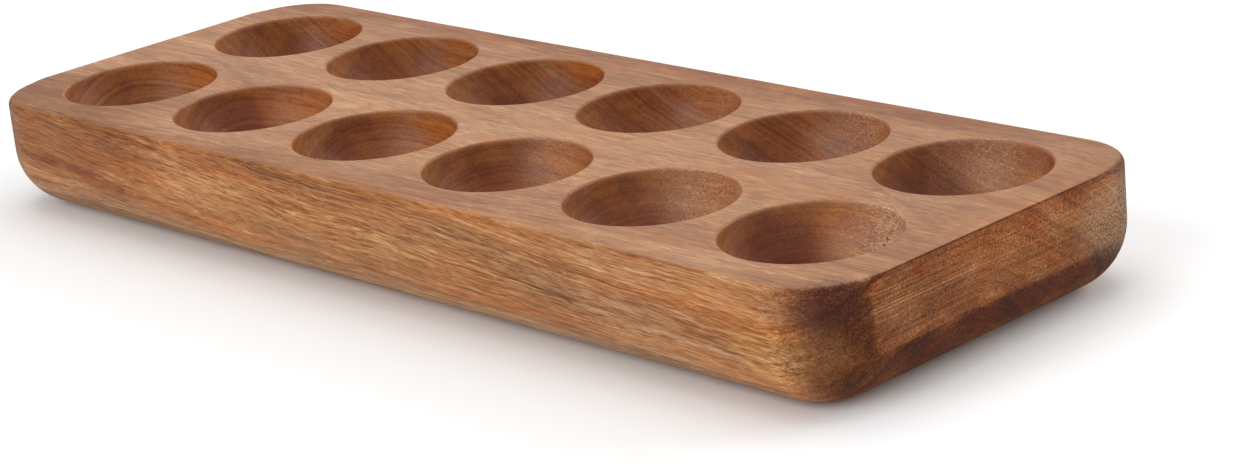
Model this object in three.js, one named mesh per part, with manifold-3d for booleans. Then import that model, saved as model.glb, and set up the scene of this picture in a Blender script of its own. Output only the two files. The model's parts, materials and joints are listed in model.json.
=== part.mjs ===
// Egg holder tray: one solid wooden board that lies flat, with rows of round
// bowls cut into its top face, one bowl for each egg. The upright corners are
// rounded, the edge of the top face and the rims of the bowls are softened, and
// a large round-over runs all the way round the underside, so that fingers can
// get under the board to lift it.
//
// Millimetres. +X runs along the board, +Y across it and +Z up. The origin is
// the middle of the flat underside.

import * as THREE from 'three';
import Module from 'manifold-3d';
import { mergeVertices } from 'three/addons/utils/BufferGeometryUtils.js';

// Driving dimensions
const boardLength = 300;
const boardWidth = 110;
const boardThickness = 30;
const cornerRadius = 18; // upright corners, seen from above
const undersideRadius = 16; // round-over between the side faces and the underside
const topEdgeRadius = 1.8; // softened edge between the side faces and the top face
const bowlDiameter = 40; // inside a bowl, just below its softened rim
const bowlDepth = 20; // from the top face to the lowest point of a bowl
const rimRadius = 0.6; // softened edge round the mouth of a bowl
const endMargin = 10; // wood left between a bowl's mouth and an end of the board
const sideMargin = 9.4; // wood left between a bowl's mouth and a long side
const leastWeb = 5; // least wood left between two mouths
const leastFloor = 3; // least wood left under a bowl
const leastFlat = 1; // least straight part left beside a rounded edge

// How finely the round parts are divided
const cornerSteps = 7;
const undersideSteps = 7;
const topEdgeSteps = 2;
const bowlSides = 32;
const bowlSteps = 7;
const rimSteps = 2;

// Sizes that follow from the ones above
const mouthRadius = bowlDiameter / 2 + rimRadius;
const cutDepth = Math.min(bowlDepth, boardThickness - leastFloor);
const columns = countAlong(boardLength, endMargin);
const rows = countAlong(boardWidth, sideMargin);
const undersideRound = Math.min(
  undersideRadius,
  cornerRadius - leastFlat,
  boardThickness - topEdgeRadius - leastFlat,
);

const wasm = await Module();
wasm.setup();

// How many mouths fit side by side in one direction.
function countAlong(size, margin) {
  const room = size - 2 * margin + leastWeb;
  return Math.max(1, Math.floor(room / (2 * mouthRadius + leastWeb)));
}

// Centre of each mouth in one direction: the outer two stand the margin away
// from the board's ends, and the others are spread evenly between them.
function centresAlong(size, margin, count) {
  const reach = count > 1 ? size / 2 - margin - mouthRadius : 0;
  const pitch = count > 1 ? (2 * reach) / (count - 1) : 0;
  return Array.from({ length: count }, (_, index) => index * pitch - reach);
}

// Manifold solid of a closed three.js geometry.
function solidOf(geometry) {
  const bare = geometry.clone();
  bare.deleteAttribute('normal');
  bare.deleteAttribute('uv');
  const merged = mergeVertices(bare);
  return new wasm.Manifold(
    new wasm.Mesh({
      numProp: 3,
      vertProperties: merged.getAttribute('position').array,
      triVerts: new Uint32Array(merged.getIndex().array),
    }),
  );
}

// three.js geometry of a manifold solid.
function geometryOf(solid) {
  const mesh = solid.getMesh();
  const geometry = new THREE.BufferGeometry();
  geometry.setAttribute('position', new THREE.BufferAttribute(mesh.vertProperties, 3));
  geometry.setIndex(new THREE.BufferAttribute(mesh.triVerts, 1));
  geometry.computeVertexNormals();
  return geometry;
}

// The board seen from above: a rectangle whose corners are quarter circles.
function boardOutline() {
  const x = boardLength / 2 - cornerRadius;
  const y = boardWidth / 2 - cornerRadius;
  const quarter = Math.PI / 2;
  const outline = new THREE.Shape();
  outline.absarc(x, y, cornerRadius, 0, quarter);
  outline.absarc(-x, y, cornerRadius, quarter, 2 * quarter);
  outline.absarc(-x, -y, cornerRadius, 2 * quarter, 3 * quarter);
  outline.absarc(x, -y, cornerRadius, 3 * quarter, 4 * quarter);
  return outline;
}

// The outline extruded, with both of its flat faces rounded over inwards. The
// straight part of its sides is one board thickness high.
function roundedPrism(edgeRadius, edgeSteps) {
  return new THREE.ExtrudeGeometry(boardOutline(), {
    depth: boardThickness,
    curveSegments: cornerSteps,
    bevelEnabled: true,
    bevelThickness: edgeRadius,
    bevelSize: edgeRadius,
    bevelOffset: -edgeRadius,
    bevelSegments: edgeSteps,
  });
}

// The board before its bowls are cut: what is inside both a prism that starts
// at the underside with the large round-over, and a prism that ends at the top
// face with the small one.
function plainBoard() {
  const fromUnderside = roundedPrism(undersideRound, undersideSteps);
  fromUnderside.translate(0, 0, undersideRound);
  const fromTop = roundedPrism(topEdgeRadius, topEdgeSteps);
  fromTop.translate(0, 0, -topEdgeRadius);
  return solidOf(fromUnderside).intersect(solidOf(fromTop));
}

// What one bowl takes out of the board, turned round its own axis, with the top
// face at height 0: a half ellipse up to the rim, the rim's quarter round, and
// a short plug that stands above the board.
function bowlCutter() {
  const bowlRadius = bowlDiameter / 2;
  const rimFoot = -rimRadius;
  const bowlFall = cutDepth - rimRadius;
  const plugTop = 2;
  const profile = [];
  for (let step = 0; step <= bowlSteps; step += 1) {
    const angle = (step / bowlSteps) * (Math.PI / 2);
    profile.push(new THREE.Vector2(
      bowlRadius * Math.sin(angle),
      rimFoot - bowlFall * Math.cos(angle),
    ));
  }
  for (let step = 1; step <= rimSteps; step += 1) {
    const angle = (step / rimSteps) * (Math.PI / 2);
    profile.push(new THREE.Vector2(
      mouthRadius - rimRadius * Math.cos(angle),
      rimFoot + rimRadius * Math.sin(angle),
    ));
  }
  profile.push(new THREE.Vector2(mouthRadius, plugTop));
  profile.push(new THREE.Vector2(0, plugTop));
  const cutter = new THREE.LatheGeometry(profile, bowlSides);
  cutter.rotateX(Math.PI / 2);
  return solidOf(cutter);
}

// The whole tray: the board with one bowl cut at each place of the grid.
function trayGeometry() {
  const cutter = bowlCutter();
  let board = plainBoard();
  for (const x of centresAlong(boardLength, endMargin, columns)) {
    for (const y of centresAlong(boardWidth, sideMargin, rows)) {
      board = board.subtract(cutter.translate([x, y, boardThickness]));
    }
  }
  return geometryOf(board);
}

const oiledWood = new THREE.MeshStandardMaterial({
  color: 0xb98a66,
  roughness: 0.55,
  metalness: 0,
});

const trayBlock = new THREE.Mesh(trayGeometry(), oiledWood);
trayBlock.name = 'tray_block';

const eggHolderTray = new THREE.Group();
eggHolderTray.add(trayBlock);

export default eggHolderTray;
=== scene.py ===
"""Egg holder tray: the fine oiled board that stands for the CAD block, with its
floor, lights and camera."""

import json
import math
from types import SimpleNamespace

import bpy
import numpy as np
from mathutils import Matrix, Vector


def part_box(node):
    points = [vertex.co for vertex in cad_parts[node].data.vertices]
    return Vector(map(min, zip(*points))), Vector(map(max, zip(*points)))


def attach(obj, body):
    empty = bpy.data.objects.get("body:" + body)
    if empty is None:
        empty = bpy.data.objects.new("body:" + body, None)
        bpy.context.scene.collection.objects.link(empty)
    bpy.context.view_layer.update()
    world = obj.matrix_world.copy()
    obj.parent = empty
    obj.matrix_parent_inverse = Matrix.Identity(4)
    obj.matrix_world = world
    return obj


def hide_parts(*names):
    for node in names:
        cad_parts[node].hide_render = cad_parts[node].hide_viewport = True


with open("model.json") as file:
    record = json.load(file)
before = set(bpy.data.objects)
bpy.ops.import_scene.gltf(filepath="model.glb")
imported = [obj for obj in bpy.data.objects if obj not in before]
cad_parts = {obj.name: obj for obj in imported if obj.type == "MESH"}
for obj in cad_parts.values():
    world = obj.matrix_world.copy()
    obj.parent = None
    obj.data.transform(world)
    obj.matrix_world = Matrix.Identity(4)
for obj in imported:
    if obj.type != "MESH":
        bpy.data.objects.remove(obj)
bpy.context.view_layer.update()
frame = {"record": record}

MM = 0.001

# Rounded edges and bowls, as on the CAD block, in millimetres
CORNER = 18.0
UNDERSIDE = 16.0
TOP_EDGE = 1.8
END_EDGE = 0.55
BOWL_RADIUS = 20.0
BOWL_DEPTH = 20.0
RIM = 0.6
MOUTH = BOWL_RADIUS + RIM

# The bowls' masks: how far past the mouth they start, because the rims are uneven,
# and the share of the rim over which the colour of the wall comes in
BOWL_MASK_SLACK = 0.1
TORN_MASK_SLACK = 0.05
RIM_FADE = 0.7

# Where a bowl's wall is torn: column and row of the bowl, direction from its
# middle and spread to either side in degrees, distance from its middle and
# spread inwards and outwards in millimetres, and how badly
TORN_PLACES = (
    (5, 0, 70, 30, 17, 10, 1.0),
    (5, 0, 150, 25, 20, 2, 0.12),
    (4, 0, 95, 40, 20, 4, 0.45),
    (4, 0, 52, 16, 17, 6, 0.8),
    (3, 0, 100, 30, 20, 5, 0.3),
    (5, 1, 72, 15, 14, 5, 0.9),
    (5, 1, 110, 40, 20, 4, 0.4),
    (4, 1, 85, 30, 20, 5, 0.4),
    (4, 1, 66, 12, 13, 4, 0.4),
    (3, 1, 75, 25, 20, 5, 0.25),
    (1, 0, 90, 25, 19, 6, 0.15),
)

# How finely the board is divided
CELL_STEPS = 36
RIM_STEPS = 5
BOWL_STEPS = 22
TOP_EDGE_STEPS = 6
SIDE_STEPS = 6
UNDERSIDE_STEPS = 14
MOUTH_SHARES = (0, 0.25, 0.5, 0.72, 0.88, 0.965)  # deck rings, cell border to mouth
EDGE_SHARES = (0.35, 0.7, 0.93)                   # deck rings, cells to top edge
CORNER_ROOM = 6.6    # flat deck left outside the cells, for the rounded corners
WELD_DECIMALS = 4    # points that agree to this many decimals are one point

# Unevenness from hand work, in millimetres
RIM_WAVE = 0.05
TOP_EDGE_WAVES = ((2, 1.0, 0.08), (7, 2.0, 0.05))  # turns, place and amount of each
SIDE_WANDER = 0.05
DECK_WANDER = 0.03
FADE_HEIGHTS = (2, 12)   # the sides' wandering grows from nothing between these

# Where the top edge changes from an end's radius to a side's, in millimetres before
# the straight side's line, and over what length
EDGE_CHANGE_START = 2.0
EDGE_CHANGE_LENGTH = 6.0

# Places, from the frame
low, high = (np.array(corner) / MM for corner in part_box("tray_block"))
length, width, thickness = high - low
mouths = np.array([
    np.mean(opening["box_m"], axis=0)[:2] / MM
    for opening in frame["record"]["physics"]["openings"]
    if opening["name"].endswith("_mouth")
])
columns = np.unique(np.round(mouths[:, 0], 3))
rows = np.unique(np.round(mouths[:, 1], 3))


# ---------------------------------------------------------------- board shape

def cell_edges(centres, half_size):
    """Borders of the cells round a row of centres: midway between neighbours,
    and the outer two as near the board's edge as its rounded corners let them."""
    between = (centres[:-1] + centres[1:]) / 2
    reach = half_size - (CORNER - UNDERSIDE) - CORNER_ROOM
    return np.concatenate([[-reach], between, [reach]])


def side_points(edges):
    """The borders with CELL_STEPS equal steps in each cell."""
    share = np.arange(CELL_STEPS) / CELL_STEPS
    steps = edges[:-1, None] + np.diff(edges)[:, None] * share
    return np.append(steps.ravel(), edges[-1])


def rectangle_border(xs, ys):
    """Points once round a rectangle, anticlockwise from its lowest corner, at
    the given steps along x and along y."""
    bottom = np.stack([xs[:-1], np.full(len(xs) - 1, ys[0])], axis=1)
    right = np.stack([np.full(len(ys) - 1, xs[-1]), ys[:-1]], axis=1)
    top = np.stack([xs[:0:-1], np.full(len(xs) - 1, ys[-1])], axis=1)
    left = np.stack([np.full(len(ys) - 1, xs[0]), ys[:0:-1]], axis=1)
    return np.concatenate([bottom, right, top, left])


def ripple(angle, place, amount):
    """A slow wave round a circle, different at each place: the sum of three
    sines with two, three and five turns, started where the place says."""
    wave = np.sin(2 * angle + 1.7 * place) + 0.6 * np.sin(3 * angle - 2.3 * place)
    return amount * (wave + 0.4 * np.sin(5 * angle + 0.9 * place))


def bowl_patch(centre, x_edges, y_edges, place):
    """Rings from a cell's border to the middle of its bowl. On the deck a ring
    lies part of the way from the border to the mouth's circle; then a quarter
    round turns it down into the wall, which is a quarter of an ellipse."""
    across = np.arange(CELL_STEPS + 1) / CELL_STEPS
    xs = x_edges[0] + (x_edges[1] - x_edges[0]) * across
    ys = y_edges[0] + (y_edges[1] - y_edges[0]) * across
    border = rectangle_border(xs, ys)
    count = len(border)
    angle = -0.75 * math.pi + 2 * math.pi * np.arange(count) / count
    ray = np.stack([np.cos(angle), np.sin(angle)], axis=1)
    rim = RIM + ripple(angle, place, RIM_WAVE)

    share = np.array(MOUTH_SHARES)[:, None, None]
    mouth = centre + ray * (BOWL_RADIUS + rim)[:, None]
    deck = border * (1 - share) + mouth * share
    deck = np.concatenate([deck, np.full(deck.shape[:2] + (1,), thickness)], axis=2)

    turn = (np.arange(RIM_STEPS) / RIM_STEPS * math.pi / 2)[:, None]
    rim_radius = BOWL_RADIUS + rim * (1 - np.sin(turn))
    rim_height = thickness - rim * (1 - np.cos(turn))

    fall = (np.arange(BOWL_STEPS) / BOWL_STEPS * math.pi / 2)[:, None]
    wall_radius = np.repeat(BOWL_RADIUS * np.cos(fall), count, axis=1)
    floor = thickness - BOWL_DEPTH
    wall_height = floor + (BOWL_DEPTH - rim) * (1 - np.sin(fall))

    radius = np.concatenate([rim_radius, wall_radius])
    height = np.concatenate([rim_height, wall_height])
    turned = centre + ray * radius[..., None]
    rings = np.concatenate([deck, np.concatenate([turned, height[..., None]], axis=2)])
    pole = np.array([[*centre, floor]])
    return rings, pole


def outline(border, inset):
    """The board's rounded outline, pulled in by inset: from each border point the
    nearest point of the rectangle that joins the corners' centres, moved out by
    the corner radius less the inset."""
    core = np.array([length, width]) / 2 - CORNER
    nearest = np.clip(border, -core, core)
    ray = border - nearest
    ray /= np.linalg.norm(ray, axis=1)[:, None]
    return nearest + ray * np.reshape(CORNER - inset, (-1, 1))


def top_edge_radius(border):
    """Radius of the softened top edge: full along the sides, small across the
    sawn ends, and uneven where it was worked by hand. The change from one to the
    other is sudden, a few millimetres round each corner from the end."""
    facing_side = np.abs(outline(border, 0)[:, 1]) - (width / 2 - CORNER)
    share = np.clip((facing_side + EDGE_CHANGE_START) / EDGE_CHANGE_LENGTH, 0, 1)
    share = share * share * (3 - 2 * share)
    walk = np.arange(len(border)) / len(border) * 2 * math.pi
    uneven = sum(ripple(turns * walk, place, amount)
                 for turns, place, amount in TOP_EDGE_WAVES)
    return END_EDGE + (TOP_EDGE - END_EDGE) * share + uneven * (0.3 + 0.7 * share)


def edge_rings(border):
    """Rings from the cells' outer border over the top edge, down the side and
    round the underside: quarter rounds at both edges and a straight side."""
    count = len(border)
    rings = [np.column_stack([border, np.full(count, thickness)])]
    top_edge = top_edge_radius(border)
    flat = outline(border, top_edge)
    for share in EDGE_SHARES:
        ring = border * (1 - share) + flat * share
        rings.append(np.column_stack([ring, np.full(count, thickness)]))
    for step in range(TOP_EDGE_STEPS + 1):
        turn = step / TOP_EDGE_STEPS * math.pi / 2
        ring = outline(border, top_edge * (1 - math.sin(turn)))
        rings.append(np.column_stack([ring, thickness - top_edge * (1 - math.cos(turn))]))
    side = outline(border, np.zeros(count))
    for step in range(1, SIDE_STEPS):
        share = step / SIDE_STEPS
        height = (thickness - top_edge) * (1 - share) + UNDERSIDE * share
        rings.append(np.column_stack([side, height]))
    for step in range(UNDERSIDE_STEPS + 1):
        turn = step / UNDERSIDE_STEPS * math.pi / 2
        inset = np.full(count, UNDERSIDE * (1 - math.cos(turn)))
        height = np.full(count, UNDERSIDE * (1 - math.sin(turn)))
        rings.append(np.column_stack([outline(border, inset), height]))
    return np.array(rings)


def underside_sheet(ring, long_steps, short_steps):
    """A grid that fills the last ring: each point is the blend of the four sides
    less the blend of the four corners."""
    ring = np.append(ring, ring[:1], axis=0)
    bottom = ring[:long_steps + 1]
    right = ring[long_steps:long_steps + short_steps + 1]
    top = ring[long_steps + short_steps:2 * long_steps + short_steps + 1][::-1]
    left = ring[2 * long_steps + short_steps:][::-1]
    u = np.linspace(0, 1, long_steps + 1)[None, :, None]
    v = np.linspace(0, 1, short_steps + 1)[:, None, None]
    sides = (1 - v) * bottom + v * top + (1 - u) * left[:, None] + u * right[:, None]
    corners = (1 - u) * (1 - v) * bottom[0] + u * (1 - v) * bottom[-1]
    corners = corners + (1 - u) * v * top[0] + u * v * top[-1]
    return sides - corners


def ring_quads(ring_count, point_count, closed):
    """Quads between neighbouring rings: point k of ring i, its neighbour k + 1,
    and the same two on ring i + 1."""
    across = point_count if closed else point_count - 1
    i, k = np.meshgrid(np.arange(ring_count - 1), np.arange(across), indexing="ij")
    i, k = i.ravel(), k.ravel()
    following = (k + 1) % point_count
    here, there = i * point_count, (i + 1) * point_count
    return np.stack([here + k, here + following, there + following, there + k], axis=1)


def board_surface():
    """All the board's points and faces: a patch for each bowl, the rings round
    the outside and the sheet underneath, welded where they meet."""
    x_edges = cell_edges(columns, length / 2)
    y_edges = cell_edges(rows, width / 2)
    points, quads, poles = [], [], []
    start = 0
    for column, x in enumerate(columns):
        for row, y in enumerate(rows):
            rings, pole = bowl_patch(
                np.array([x, y]), x_edges[column:column + 2], y_edges[row:row + 2],
                column + len(columns) * row)
            ring_count, point_count = rings.shape[:2]
            quads.append(start + ring_quads(ring_count, point_count, True))
            last = start + (ring_count - 1) * point_count + np.arange(point_count)
            tip = np.full(point_count, start + ring_count * point_count)
            poles.append(np.stack([last, np.roll(last, -1), tip], axis=1))
            points += [rings.reshape(-1, 3), pole]
            start += ring_count * point_count + 1
    border = rectangle_border(side_points(x_edges), side_points(y_edges))
    rings = edge_rings(border)
    quads.append(start + ring_quads(len(rings), len(border), True)[:, ::-1])
    points.append(rings.reshape(-1, 3))
    start += rings.shape[0] * rings.shape[1]
    sheet = underside_sheet(rings[-1], CELL_STEPS * len(columns), CELL_STEPS * len(rows))
    quads.append(start + ring_quads(sheet.shape[0], sheet.shape[1], False)[:, ::-1])
    points.append(sheet.reshape(-1, 3))
    points, quads, poles = map(np.concatenate, (points, quads, poles))
    _, first, weld = np.unique(
        np.round(points, WELD_DECIMALS), axis=0, return_index=True, return_inverse=True)
    return points[first], weld.ravel()[quads], weld.ravel()[poles]


def hand_sanded(points):
    """The board after sanding by hand: sides and deck wander in and out by less
    than a tenth of a millimetre, as sums of slow sines along x, y and z, each place
    in millimetres divided by a wave's length over two pi. The sides' wandering fades
    out towards the foot and towards the board's middle."""
    x, y, z = points.T
    fade = np.clip((z - FADE_HEIGHTS[0]) / (FADE_HEIGHTS[1] - FADE_HEIGHTS[0]), 0, 1)
    out = points * [1 / length, 1 / width, 0]
    out /= np.maximum(np.abs(out).max(axis=1), 1e-6)[:, None]
    edge = np.clip(np.hypot(out[:, 0], out[:, 1]), 0, 1)
    wave = np.sin(x / 31 + y / 17) + np.sin(x / 13 - z / 9 + 1) * 0.5
    side = SIDE_WANDER * wave * fade * edge
    deck = DECK_WANDER * (np.sin(x / 23 + 2) + np.sin(y / 11 + x / 47))
    deck = deck * (z > thickness - 1)
    return points + np.column_stack([side * out[:, 0], side * out[:, 1], deck])


def torn_grain(points):
    """How torn the cut surface is, from 0 to 1: inside a bowl, a bell-shaped share
    of the wall round the place where the cutter met rising fibres."""
    torn = np.zeros(len(points))
    for column, row, direction, spread, middle, reach, amount in TORN_PLACES:
        local = points[:, :2] - [columns[column], rows[row]]
        angle = np.degrees(np.arctan2(local[:, 1], local[:, 0]))
        away = np.hypot(local[:, 0], local[:, 1])
        turned = ((angle - direction + 180) % 360 - 180) / spread
        moved = (away - middle) / reach
        share = amount * np.exp(-turned ** 2 - moved ** 2)
        torn = np.maximum(torn, share * (away < MOUTH + TORN_MASK_SLACK))
    return torn


def inside_bowl(points):
    """1 on the wall of a bowl, 0 elsewhere, changing across the softened rim. The
    underside below a bowl lies lower than the bowl's floor and stays 0."""
    local = points[:, None, :2] - mouths[None]
    nearest = np.hypot(local[..., 0], local[..., 1]).min(axis=1)
    above_floor = points[:, 2] > (thickness - BOWL_DEPTH) / 2
    inwards = MOUTH + BOWL_MASK_SLACK - nearest
    return np.clip(inwards / (RIM_FADE * RIM), 0, 1) * above_floor


def add_board():
    """The board as one mesh, in metres, with smooth shading."""
    points, quads, poles = board_surface()
    bowl = inside_bowl(points)
    masks = {"bowl": bowl, "torn": torn_grain(points) * bowl}
    points = hand_sanded(points)
    mesh = bpy.data.meshes.new("oiled_board")
    mesh.from_pydata((points * MM).tolist(), [], quads.tolist() + poles.tolist())
    mesh.validate()
    mesh.shade_smooth()
    for name, amount in masks.items():
        attribute = mesh.attributes.new(name, "FLOAT", "POINT")
        attribute.data.foreach_set("value", amount.astype(np.float32))
    board = bpy.data.objects.new("oiled_board", mesh)
    bpy.context.scene.collection.objects.link(board)
    return board


# ------------------------------------------------------------- shader helpers

class Value:
    """One output socket. Sums and products of values add Math nodes."""

    def __init__(self, socket):
        self.socket = socket
        self.tree = socket.id_data

    def _math(self, operation, *values):
        return node(self.tree, "ShaderNodeMath", {"operation": operation},
                    dict(enumerate(values)))

    def __add__(self, other):
        return self._math("ADD", self, other)

    __radd__ = __add__

    def __mul__(self, other):
        return self._math("MULTIPLY", self, other)

    __rmul__ = __mul__

    def __sub__(self, other):
        return self._math("SUBTRACT", self, other)

    def __rsub__(self, other):
        return self._math("SUBTRACT", other, self)

    def __truediv__(self, other):
        return self._math("DIVIDE", self, other)

    def __abs__(self):
        return self._math("ABSOLUTE", self)

    def root(self):
        return self._math("SQRT", self)

    def step(self, start, end):
        """0 below start, 1 above end, and a smooth rise between them."""
        return node(self.tree, "ShaderNodeMapRange", {"interpolation_type": "SMOOTHSTEP"},
                    {"Value": self, "From Min": start, "From Max": end})

    def bump_at(self, centre, half_width):
        """1 at the centre, fading to 0 half a width away on either side."""
        return 1 - abs(self - centre).step(0, half_width)


def node(tree, kind, settings=None, inputs=None, output=0):
    """Any node: its settings first, then its sockets' values or links."""
    made = tree.nodes.new(kind)
    for name, value in (settings or {}).items():
        if name == "stops":
            set_stops(made.color_ramp, value)
        else:
            setattr(made, name, value)
    for key, value in (inputs or {}).items():
        socket = made.inputs[key]
        if isinstance(value, Value):
            tree.links.new(value.socket, socket)
        elif socket.type == "RGBA" and len(value) == 3:
            socket.default_value = (*value, 1)
        else:
            socket.default_value = value
    return Value(made.outputs[output]) if len(made.outputs) else None


def set_stops(ramp, stops):
    """A colour ramp's stops, each a position and a colour."""
    while len(ramp.elements) < len(stops):
        ramp.elements.new(1)
    for element, (position, colour) in zip(ramp.elements, stops):
        element.position = position
        element.color = (*colour, 1)


def all_outputs(value):
    """Every output of the node that a value comes from, by name."""
    return {socket.name: Value(socket) for socket in value.socket.node.outputs}


def parts(tree, vector):
    """The three parts of a vector."""
    return all_outputs(node(tree, "ShaderNodeSeparateXYZ", {}, {0: vector})).values()


def ramp(tree, amount, stops):
    """The colour that an amount has on a ramp."""
    return node(tree, "ShaderNodeValToRGB", {"stops": stops}, {0: amount})


def mixed(tree, factor, first, second, blend="MIX"):
    """Two colours mixed by a factor."""
    return node(tree, "ShaderNodeMix", {"data_type": "RGBA", "blend_type": blend},
                {0: factor, 6: first, 7: second}, output=2)


def tinted(tree, factor, colour, tint):
    """A colour multiplied by a tint where the factor is 1."""
    return mixed(tree, factor, colour, tint, "MULTIPLY")


def stretched(tree, place, scale, shift=(0, 0, 0)):
    """A place scaled along each axis, then shifted."""
    return node(tree, "ShaderNodeMapping", {},
                {0: place, "Location": shift, "Scale": scale})


def noise(tree, place, scale, shift=(0, 0, 0), detail=2, rough=0.5):
    """Three-dimensional noise at a stretched place, from 0 to 1."""
    return node(tree, "ShaderNodeTexNoise", {"noise_dimensions": "3D"},
                {"Vector": stretched(tree, place, scale, shift), "Scale": 1.0,
                 "Detail": detail, "Roughness": rough})


def layer_noise(tree, depth, detail=2):
    """One-dimensional noise: the same all over a growth layer, from 0 to 1."""
    return node(tree, "ShaderNodeTexNoise", {"noise_dimensions": "1D"},
                {"W": depth, "Scale": 1.0, "Detail": detail})


def blob(tree, place, middle, half_size, ragged):
    """1 in the middle of an egg-shaped region and 0 outside it: the distance in
    half sizes, made uneven by ragged, falls off smoothly."""
    scale = tuple(1 / size for size in half_size)
    shift = tuple(-c / size for c, size in zip(middle, half_size))
    away = node(tree, "ShaderNodeVectorMath", {"operation": "LENGTH"},
                {0: stretched(tree, place, scale, shift)}, output="Value")
    return (away + ragged).step(1.15, 0.45)


# ----------------------------------------------------------------- oiled wood

PITH_Y = -14.0      # the tree's middle runs along the board, below and in front
PITH_Z = -14.0
GRAIN_DIP = 0.067   # how far it falls for each millimetre along the board
SWAY = 6.0          # how far the growth layers wander, slowly and then quickly, in mm
WAVER = 2.0

# Growth layers that stand out, by their distance from the tree's middle: distance,
# half width and how much paler or darker
LAYERS = (
    (28.5, 3.0, -0.08),
    (33.5, 3.0, 0.05),
    (39.0, 3.5, -0.10),
    (45.0, 3.0, -0.03),
    (48.5, 2.5, -0.04),
    (52.0, 3.0, 0.06),
    (57.0, 3.5, -0.09),
    (62.5, 3.0, 0.07),
    (67.5, 2.5, -0.07),
    (74.0, 3.5, 0.05),
)
DARK_LAYER = (53.6, 2.2)
PALE_LAYER = (68.5, 1.1)

# Noises that follow the grain: scale along, across and up, for each millimetre;
# shift; detail; roughness
GRAIN_NOISES = {
    "cloud": ((0.02, 0.07, 0.08), (0, 0, 0), 2, 0.5),
    "hue": ((0.02, 0.14, 0.17), (3, 9, 2), 2, 0.5),
    "streak": ((0.04, 0.7, 0.8), (0, 0, 0), 3, 0.6),
    "thread": ((0.08, 1.9, 2.1), (2, 5, 8), 3, 0.65),
    "fibre": ((0.22, 4.2, 4.2), (5, 1, 4), 2, 0.7),
    "dash": ((0.14, 2.8, 3.0), (1, 7, 3), 2, 0.6),
    "mottle": ((0.03, 0.10, 0.10), (6, 4, 1), 3, 0.6),
}

# Noises that keep to the board: specks of end grain, saw marks, chips and torn grain
BOARD_NOISES = {
    "speck": ((0.8, 2.0, 2.0), (0, 0, 0), 3, 0.8),
    "saw": ((0.1, 0.004, 1.7), (4, 2, 6), 2, 0.7),
    "hatch": ((0.1, 0.02, 2.4), (8, 1, 3), 2, 0.7),
    "chipped": ((1.0, 0.45, 1.4), (2, 7, 1), 2, 0.7),
    "grit": ((1.3, 2.6, 2.8), (0, 0, 0), 3, 0.75),
    "fissure": ((0.40, 2.4, 1.3), (3, 1, 7), 2, 0.7),
}

# Colours of the wood from its darkest to its palest fibres
WOOD = (
    (0.0, (0.11, 0.030, 0.007)),
    (0.28, (0.238, 0.074, 0.017)),
    (0.5, (0.35, 0.138, 0.042)),
    (0.72, (0.445, 0.205, 0.082)),
    (1.0, (0.60, 0.35, 0.19)),
)

# What end grain multiplies them by: sanded round and full of oil, or sawn flat
ROUNDED_END = (
    (0.0, (0.20, 0.12, 0.07)),
    (0.3, (0.38, 0.25, 0.14)),
    (0.7, (0.62, 0.46, 0.29)),
    (1.0, (0.95, 0.80, 0.62)),
)
SAWN_END = (
    (0.0, (0.38, 0.28, 0.24)),
    (0.5, (0.80, 0.66, 0.56)),
    (1.0, (1.40, 1.35, 1.30)),
)

# Tints that multiply the wood's colour
GREYER = (0.95, 1.06, 1.28)
REDDER = (1.04, 0.92, 0.76)
PALE_DRIFT = (1.13, 1.15, 1.19)
DARK_DRIFT = (0.87, 0.81, 0.75)
# Painted shade, partly darker end grain: bowl walls that face the grain at a slant
SLANT_GRAIN_AND_SHADE = (0.68, 0.54, 0.44)
# Painted light and painted sheen on bowl walls facing +x
END_WALL_LIGHT_AND_SHEEN = (1.0, 1.06, 1.34)
# Painted light: deeper orange high on bowl walls facing the front
FAR_WALL_LIGHT = (1.0, 0.85, 0.65)
# Painted sheen: paler, greyer band high on the slanted bowl walls
UPPER_WALL_SHEEN = (1.07, 1.18, 1.30)
BOWL_OIL = (1.0, 0.91, 0.80)
POOLED_OIL = (0.62, 0.50, 0.44)
PINKER_BOWL = (1.06, 1.0, 1.16)
GREENER_BOWL = (0.97, 1.03, 0.98)

# Colours that are mixed into it
PALE_RING = (0.34, 0.25, 0.16)
PORE = (0.15, 0.048, 0.013)
# Painted sheen and painted light: the deck's paler, greyer face
PAINTED_DECK_SHEEN = (0.47, 0.265, 0.155)
KNOT = (0.040, 0.012, 0.012)
RUST = (0.13, 0.034, 0.018)
FADED = (0.46, 0.33, 0.20)
OLIVE = (0.20, 0.105, 0.045)
CHIP = (0.10, 0.026, 0.012)
PALE_RIM = (0.56, 0.34, 0.20)
TORN_WALL = (0.60, 0.385, 0.25)
# Painted highlight: specks where raised fibres catch the light
FIBRE_GLINT = (0.82, 0.58, 0.42)
PIT = (0.10, 0.035, 0.016)
NICK = (0.40, 0.25, 0.15)
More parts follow.
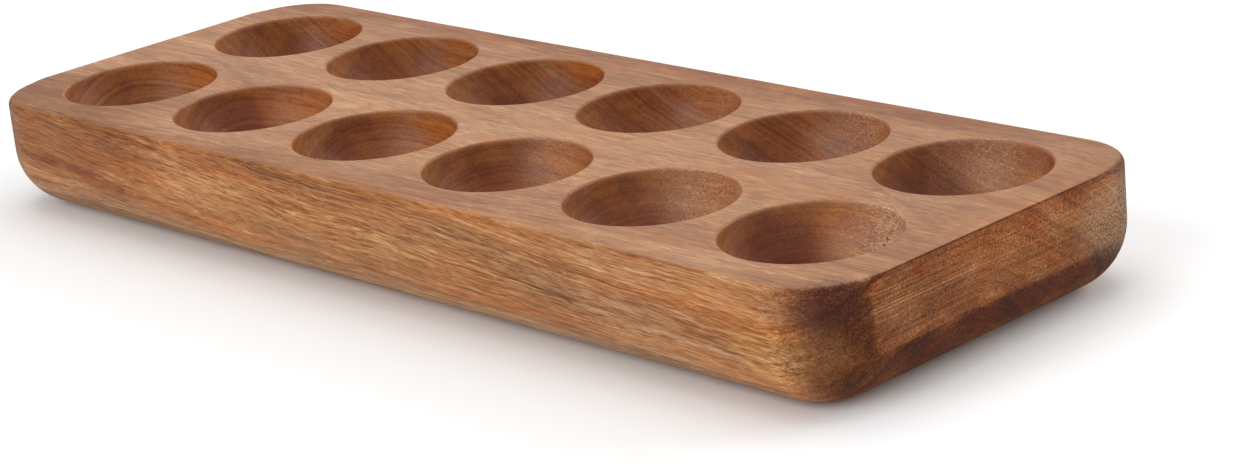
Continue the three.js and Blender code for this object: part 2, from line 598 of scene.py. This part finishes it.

# Places where the board's colour is tinted, one of them a painted reflection: the
# middle and half the size of a soft-edged blob in millimetres, and the tint there
TINTS_AND_PAINTED_REFLECTION = (
    ((-128, -50, 24), (62, 30, 14), (0.68, 0.59, 0.43)),      # dark end of the front
    ((-95, -48, 5), (75, 16, 9), (0.90, 0.97, 1.04)),         # its foot
    ((-40, -55, 21), (38, 14, 6), (1.10, 1.14, 1.16)),        # pale middle
    ((0, -57, 30), (85, 10, 5), (0.88, 0.82, 0.74)),          # orange line at the top
    ((105, -55, 15), (45, 12, 6), (0.98, 1.05, 1.20)),        # greyer right part
    ((110, -58, 20), (60, 12, 22), (1.02, 1.11, 1.26)),
    ((0, -57, 14), (170, 8, 3.5), (0.89, 0.85, 0.79)),        # where the side turns under
    ((0, -50, 5), (170, 14, 4), (0.97, 1.17, 1.40)),          # grey foot: painted reflection of the floor
    ((10, -57, 20), (75, 10, 14), (1.0, 1.06, 1.09)),
    ((0, 0, 31), (160, 15, 6), (1.05, 1.07, 1.10)),           # deck between the rows
    ((30, -48, 10), (70, 16, 6), (0.90, 0.90, 0.92)),
    ((148, 5, 31), (16, 64, 6), (0.90, 0.86, 0.80)),          # deck by the end
    ((0, 55, 31), (180, 13, 8), (0.80, 0.68, 0.57)),          # deck along the back
    ((0, -54, 31), (170, 9, 5), (0.95, 0.89, 0.81)),          # and along the front
    ((148, 5, 9.5), (24, 64, 4.5), (0.60, 0.44, 0.32)),       # dark band on the end
    ((150, 5, 17.5), (6, 60, 4), (0.82, 0.79, 0.77)),
    ((150, 5, 27.5), (6, 60, 4), (1.14, 1.10, 1.06)),
    ((150, -34, 20), (6, 24, 11), (0.78, 0.78, 0.82)),
    ((143, -46, 8), (10, 10, 7), (0.62, 0.60, 0.62)),         # foot of the corner
    ((136, -54, 14), (13, 8, 9), (1.32, 1.46, 1.35)),         # pale side of the corner
)

# The same on the walls of the bowls; the pale one in the front row's last bowl is a
# painted highlight
BOWL_TINTS_AND_HIGHLIGHT = (
    ((103, -19, 21), (11, 10, 9), (0.66, 0.50, 0.42)),
    # painted highlight on the far wall of the front row's last bowl
    ((112, -7, 24), (9, 7, 6), (1.20, 1.26, 1.32)),
    ((102, 30, 20), (11, 10, 9), (0.72, 0.58, 0.50)),
    ((110, 41, 21), (5, 4, 7), (1.22, 1.32, 1.46)),
    ((61, 39, 21), (5, 4, 8), (1.20, 1.30, 1.42)),
    ((58, -14, 15), (12, 9, 8), (0.86, 0.76, 0.68)),
    ((10, -13, 19), (14, 10, 8), (0.88, 0.74, 0.62)),
    ((-28, 32, 20), (16, 12, 9), (0.86, 0.92, 0.96)),
    ((-75, -10, 21), (24, 10, 8), (1.10, 0.96, 0.78)),
)

# Marks: middle and half size of the blob that each lies in
KNOT_PLACE = ((146, -48, 26), (9, 8, 5))
RUST_PLACE = ((138, -53, 24), (8, 7, 5))
FADED_PLACE = ((148, 42, 20), (16, 20, 11))
OLIVE_PLACE = ((142, -52, 16), (10, 8, 7))
CHIPS_PLACE = ((150, 38, 29.5), (3, 18, 0.9))
NICK_PLACE = ((148, -41, 30), (2.2, 2.2, 1.0))


def timber(tree):
    """All that the finish reads at a point of the board: its place and direction, the
    mesh's masks, and the noises that keep to the board."""
    coordinates = all_outputs(node(tree, "ShaderNodeTexCoord"))
    place = node(tree, "ShaderNodeVectorMath", {"operation": "SCALE"},
                 {0: coordinates["Object"], "Scale": 1 / MM})
    wood = SimpleNamespace(place=place)
    wood.x, wood.y, wood.z = parts(tree, place)
    wood.normal_x, wood.normal_y, normal_z = parts(tree, coordinates["Normal"])
    for mask in ("bowl", "torn"):
        value = node(tree, "ShaderNodeAttribute", {"attribute_name": mask}, output="Fac")
        setattr(wood, mask, value)
    wood.outside = 1 - wood.bowl
    wood.top = normal_z.step(0.6, 0.95) * wood.outside
    for name, settings in BOARD_NOISES.items():
        setattr(wood, name, noise(tree, place, *settings))
    wood.speck = wood.speck - 0.5
    wood.hatch = wood.hatch - 0.5
    return wood


def add_growth(tree, wood):
    """Growth layers by their distance, or depth, from the tree's middle, which
    wanders slowly and wavers a little, and the noises that follow the grain."""
    slow, quick = (0.012, 0.03, 0.03), (0.045, 0.09, 0.09)
    sway_y = noise(tree, wood.place, slow, detail=1) - 0.5
    sway_z = noise(tree, wood.place, slow, (7, 3, 5), 1) - 0.5
    waver_y = noise(tree, wood.place, quick, (1, 8, 2)) - 0.5
    waver_z = noise(tree, wood.place, quick, (6, 2, 9)) - 0.5
    across = wood.y - PITH_Y + sway_y * SWAY + waver_y * WAVER
    above = wood.z + wood.x * GRAIN_DIP - PITH_Z + sway_z * SWAY + waver_z * WAVER
    wood.depth = (across * across + above * above).root()
    wood.broad = layer_noise(tree, wood.depth * 0.16, 1) - 0.5
    wood.yearly = layer_noise(tree, wood.depth * 0.55 + 20) - 0.5
    wood.fine = layer_noise(tree, wood.depth * 1.9 + 50) - 0.5
    wood.thin = layer_noise(tree, wood.depth * 1.1 + 90, 4) - 0.5
    grain = node(tree, "ShaderNodeCombineXYZ", {}, {0: wood.x, 1: across, 2: above})
    for name, settings in GRAIN_NOISES.items():
        setattr(wood, name, noise(tree, grain, *settings) - 0.5)
    wood.dark_layer = wood.depth.bump_at(*DARK_LAYER)
    filled = wood.dash + wood.cloud * 0.3 + wood.yearly * 0.2 + wood.dark_layer * 0.07
    wood.pores = filled.step(0.10, 0.20)
    wood.ragged = wood.cloud * 0.9 + wood.streak * 0.5


def wood_colour(tree, wood):
    """The wood's colour: growth layers and fibres through the ramp, then drifts towards
    grey and red, pores, a painted sheen on the deck, and tinted places."""
    bowl, top, depth = wood.bowl, wood.top, wood.depth
    layers = wood.broad * 0.3 + wood.yearly * 0.5 + wood.fine * 0.4
    layers = layers + wood.cloud * 0.55 + wood.thin * bowl * 0.45
    for distance, half_width, change in LAYERS:
        layers = layers + depth.bump_at(distance, half_width) * change
    lines = wood.streak * 0.7 + wood.thread * 1.15 + wood.fibre * 1.4
    lines = lines - wood.dark_layer * wood.thread.step(0.05, -0.1) * 0.15
    tone = 0.53 + layers * (1 - bowl * 0.3) + lines * (0.9 + top * 0.1 - bowl * 0.45)
    colour = ramp(tree, tone - depth.step(44, 84) * 0.14, WOOD)

    greyer = tinted(tree, 1.0, colour, GREYER)
    redder = tinted(tree, 1.0, colour, REDDER)
    colour = mixed(tree, wood.hue.step(0.02, 0.18), colour, greyer)
    colour = mixed(tree, wood.hue.step(-0.03, -0.17), colour, redder)
    pale_layer = depth.bump_at(*PALE_LAYER) * (wood.streak + 0.5)
    colour = mixed(tree, pale_layer * 0.7 * bowl, colour, PALE_RING)
    colour = mixed(tree, wood.pores * (0.26 - bowl * 0.1 - top * 0.12), colour, PORE)
    # Painted sheen and painted light: faces that look up are mixed towards a paler, greyer
    # colour
    colour = mixed(tree, top * 0.36, colour, PAINTED_DECK_SHEEN)
    drift = wood.mottle + wood.streak * 0.25
    colour = tinted(tree, drift.step(0.0, 0.2) * top, colour, PALE_DRIFT)
    colour = tinted(tree, drift.step(0.0, -0.2) * top, colour, DARK_DRIFT)
    # Tinted places; the grey foot among them is a painted reflection of the floor
    for middle, half_size, tint in TINTS_AND_PAINTED_REFLECTION:
        mask = blob(tree, wood.place, middle, half_size, wood.ragged)
        colour = tinted(tree, mask * wood.outside, colour, tint)
    return colour


def end_grain(tree, wood, colour):
    """End grain: darkest where it is sanded round, paler and lined where the saw
    left it flat, with a knot, rusty, faded and olive patches, and chips."""
    place, speck, cloud = wood.place, wood.speck, wood.cloud
    facing = abs(wood.normal_x)
    wood.turned_end = facing.step(0.10, 0.72) * wood.outside
    wood.flat_end = (facing + cloud * 0.01).step(0.968, 0.992) * wood.outside
    wood.saw_line = wood.saw.step(0.55, 0.66) * wood.flat_end
    thirst = 0.32 + speck * 1.7 + cloud + wood.yearly * 0.2 + wood.fine * 0.15
    sawn_tone = 0.41 + speck * 2.0 + wood.hatch * 1.2 + wood.saw_line * 0.75 + cloud * 0.5
    ends = mixed(tree, wood.flat_end, ramp(tree, thirst, ROUNDED_END),
                 ramp(tree, sawn_tone, SAWN_END))
    colour = tinted(tree, wood.turned_end, colour, ends)

    knot = blob(tree, place, *KNOT_PLACE, speck * 1.2 + cloud)
    colour = mixed(tree, knot * (0.55 - speck * 2.0), colour, KNOT)
    rusty = blob(tree, place, *RUST_PLACE, speck * 1.2)
    colour = mixed(tree, rusty * (0.3 - speck), colour, RUST)
    faded = blob(tree, place, *FADED_PLACE, speck * 0.9)
    colour = mixed(tree, faded * (0.3 + speck * 3.2), colour, FADED)
    olive = blob(tree, place, *OLIVE_PLACE, speck * 0.7) * wood.turned_end
    colour = mixed(tree, olive * (0.3 + speck * 1.2), colour, OLIVE)
    chips = blob(tree, place, *CHIPS_PLACE, wood.chipped - 0.5)
    wood.chips = chips * wood.chipped.step(0.50, 0.56)
    return mixed(tree, wood.chips * 0.8, colour, CHIP)


def bowl_walls(tree, wood, colour):
    """Bowls: darker and redder where the wall faces the grain at a slant, partly darker
    end grain and partly painted shade; painted light and sheen on walls facing +x,
    painted light high on walls facing the front, painted sheen high on the slanted
    walls; oil pooled in patches, and a paler rim."""
    bowl, z, hue = wood.bowl, wood.z, wood.hue
    normal_x, normal_y = wood.normal_x, wood.normal_y
    lengthways = normal_x * normal_x - normal_y * normal_y
    slant = (lengthways * 0.64 - normal_x * normal_y * 1.54) / (
        normal_x * normal_x + normal_y * normal_y + 0.02)
    slant = slant.step(-0.6, 1.1)
    # walls facing +x, which get painted light and sheen
    end_walls_lit = (normal_x + normal_y * 0.5).step(0.5, 1.1)
    # upper walls facing the front, which get painted light
    far_walls_lit = (normal_x * -0.5 - normal_y).step(0.5, 1.1) * z.step(19, 26)
    pooled = (wood.cloud + hue * 0.7 + wood.streak * 0.3).step(-0.02, 0.14)
    for mask, tint in (
        # painted shade, partly darker end grain
        (slant * bowl, SLANT_GRAIN_AND_SHADE),
        # painted light and sheen
        (end_walls_lit * bowl, END_WALL_LIGHT_AND_SHEEN),
        # painted light
        (far_walls_lit * bowl, FAR_WALL_LIGHT),
        # painted sheen
        (z.step(24, 27) * slant * bowl, UPPER_WALL_SHEEN),
        (bowl, BOWL_OIL),
        (pooled * bowl * 0.75, POOLED_OIL),
        (hue.step(0.0, 0.12) * bowl, PINKER_BOWL),
        (hue.step(0.0, -0.12) * bowl, GREENER_BOWL),
    ):
        colour = tinted(tree, mask, colour, tint)
    # Tints on the bowl walls, one of them a painted highlight
    for middle, half_size, tint in BOWL_TINTS_AND_HIGHLIGHT:
        mask = blob(tree, wood.place, middle, half_size, wood.ragged)
        colour = tinted(tree, mask * bowl, colour, tint)
    # A paler line along the rim's rounding
    pale_rim = bowl.step(0.0, 0.3) * z.step(28.8, 29.7)
    return mixed(tree, pale_rim * 0.12, colour, PALE_RIM)


def torn_walls(tree, wood, colour):
    """Torn grain: a paler wall, painted highlights on raised fibres where they catch the
    light, and dark pits between them. A nick in the corner's edge is of the same kind."""
    torn, grit = wood.torn, wood.grit
    pits = (grit.step(0.42, 0.34) * 0.6 + wood.fissure.step(0.58, 0.66)) * torn
    colour = mixed(tree, torn * 0.45, colour, TORN_WALL)
    # Painted highlights: pale specks where raised fibres catch the light
    colour = mixed(tree, grit.step(0.49, 0.63) * torn * 0.75, colour, FIBRE_GLINT)
    colour = mixed(tree, pits * 0.8, colour, PIT)
    nick = blob(tree, wood.place, *NICK_PLACE, grit - 0.5)
    return mixed(tree, nick * grit.step(0.44, 0.58), colour, NICK)


def wood_height(wood):
    """Height of the fine relief: fibres and pores, saw marks, specks of end grain,
    torn grain and chips."""
    height = wood.thread * 0.5 + wood.fibre * 0.5 - wood.pores * 0.8
    height = height * (1 - wood.bowl * 0.6) + wood.saw_line * 0.6
    height = height + wood.hatch * wood.flat_end * 0.8 + wood.speck * wood.turned_end * 0.6
    return height + (wood.grit - 0.5) * wood.torn * 2.2 - wood.chips * 0.8


def oiled_wood():
    """Flat-sawn hardwood: growth layers round a line below the board, fibres and
    pores drawn out along it, end grain that has drunk more oil, and saw marks."""
    material = bpy.data.materials.new("oiled_wood")
    material.use_nodes = True
    tree = material.node_tree
    tree.nodes.clear()
    wood = timber(tree)
    add_growth(tree, wood)
    colour = wood_colour(tree, wood)
    colour = end_grain(tree, wood, colour)
    colour = bowl_walls(tree, wood, colour)
    colour = torn_walls(tree, wood, colour)
    relief = node(tree, "ShaderNodeBump", {},
                  {"Strength": 0.4, "Distance": 0.0003, "Height": wood_height(wood)})
    roughness = 0.5 + wood.fibre * 0.3 + wood.pores * 0.15
    roughness = roughness + wood.torn * 0.15 + wood.turned_end * 0.2
    oil_film = 0.16 + wood.top * 0.18 + wood.bowl * 0.19
    oil_film = oil_film - wood.turned_end * 0.1 - wood.pores * 0.06
    shader = node(tree, "ShaderNodeBsdfPrincipled", {}, {
        "Base Color": colour,
        "Roughness": roughness,
        "Normal": relief,
        "IOR": 1.5,
        "Specular IOR Level": 0.12,
        "Coat Weight": oil_film,
        "Coat Roughness": 0.38,
        "Coat IOR": 1.5,
    })
    node(tree, "ShaderNodeOutputMaterial", {}, {"Surface": shader})
    return material


# ------------------------------------------------------ floor, lights, camera

FLOOR_RADIUS = 4.0    # metres
FLAT_RADIUS = 2.0
FLOOR_RINGS = 24
FLOOR_POINTS = 64     # in each ring
FLOOR_CURVE = 0.02
FLOOR_WHITE = (0.93, 0.93, 0.93, 1)

SKY_STRENGTH = 0.62

# Soft lights, aimed at the tray's middle: name, place, side of the square, watts
SOFTBOXES = (
    ("overhead", (-0.2, 0.2, 1.6), 1.4, 9),
    ("front_key", (0.0, -1.5, 0.75), 1.3, 14),
    ("back_light", (0.72, 1.25, 0.68), 1.0, 9),
)

CAMERA_AZIMUTH = 47.336      # degrees from straight in front, towards the right end
CAMERA_ELEVATION = 18.505
CAMERA_ROLL = -5.799
CAMERA_DISTANCE = 0.73212    # metres, from the point that it looks at
CAMERA_TARGET = (0.05205, -0.01593, 0.015)
CAMERA_LENS = 91.95          # millimetres
CAMERA_SENSOR = 36
CAMERA_NEAR = 0.01           # metres


def add_floor():
    """A plain pale floor: rings of points round its middle, flat near the tray and
    rising far from it with the square of the distance past the flat part."""
    radius = np.linspace(0, FLOOR_RADIUS, FLOOR_RINGS)[:, None]
    angle = np.linspace(0, 2 * math.pi, FLOOR_POINTS, endpoint=False)[None, :]
    rise = FLOOR_CURVE * np.clip(radius - FLAT_RADIUS, 0, None) ** 2
    points = np.stack([
        radius * np.cos(angle), radius * np.sin(angle), rise + 0 * angle], axis=2)
    mesh = bpy.data.meshes.new("studio_floor")
    quads = ring_quads(*points.shape[:2], True)[FLOOR_POINTS:, ::-1]
    around = np.arange(FLOOR_POINTS)
    middle = np.stack([
        0 * around, FLOOR_POINTS + (around + 1) % FLOOR_POINTS, FLOOR_POINTS + around],
        axis=1)
    mesh.from_pydata(
        points.reshape(-1, 3).tolist(), [], quads.tolist() + middle.tolist())
    mesh.validate()
    floor = bpy.data.objects.new("studio_floor", mesh)
    bpy.context.scene.collection.objects.link(floor)
    material = bpy.data.materials.new("studio_floor")
    material.use_nodes = True
    shader = material.node_tree.nodes["Principled BSDF"]
    shader.inputs["Base Color"].default_value = FLOOR_WHITE
    shader.inputs["Roughness"].default_value = 0.9
    mesh.materials.append(material)
    return floor


def add_softbox(name, place, size, power):
    """A square soft light at a place, turned towards the tray's middle."""
    light = bpy.data.lights.new(name, "AREA")
    light.shape = "SQUARE"
    light.size = size
    light.energy = power
    lamp = bpy.data.objects.new(name, light)
    bpy.context.scene.collection.objects.link(lamp)
    lamp.location = place
    aim = Vector((0, 0, 0)) - Vector(place)
    lamp.rotation_euler = aim.to_track_quat("-Z", "Y").to_euler()


def add_sky(strength):
    """Even white light from all round."""
    world = bpy.data.worlds.new("studio_sky")
    world.use_nodes = True
    background = world.node_tree.nodes["Background"]
    background.inputs["Color"].default_value = (1, 1, 1, 1)
    background.inputs["Strength"].default_value = strength
    bpy.context.scene.world = world


def add_camera():
    """The camera: its place is a distance back from a point on the tray, along an
    azimuth and a height, and it is rolled a little about its line of sight."""
    azimuth, elevation, roll = (
        math.radians(a) for a in (CAMERA_AZIMUTH, CAMERA_ELEVATION, CAMERA_ROLL))
    target = Vector(CAMERA_TARGET)
    back = Vector((
        math.sin(azimuth) * math.cos(elevation),
        -math.cos(azimuth) * math.cos(elevation),
        math.sin(elevation)))
    right = (-back).cross(Vector((0, 0, 1))).normalized()
    up = right.cross(-back)
    rolled_right = right * math.cos(roll) + up * math.sin(roll)
    rolled_up = up * math.cos(roll) - right * math.sin(roll)
    camera = bpy.data.objects.new("camera", bpy.data.cameras.new("camera"))
    bpy.context.scene.collection.objects.link(camera)
    turn = Matrix((rolled_right, rolled_up, back)).transposed()
    place = Matrix.Translation(target + back * CAMERA_DISTANCE)
    camera.matrix_world = place @ turn.to_4x4()
    camera.data.sensor_width = CAMERA_SENSOR
    camera.data.lens = CAMERA_LENS
    camera.data.clip_start = CAMERA_NEAR
    bpy.context.scene.camera = camera


add_camera()
add_sky(SKY_STRENGTH)
for softbox in SOFTBOXES:
    add_softbox(*softbox)
bpy.context.scene.view_settings.view_transform = "Standard"
add_floor()

board = add_board()
board.data.materials.append(oiled_wood())
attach(board, "root")
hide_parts("tray_block")
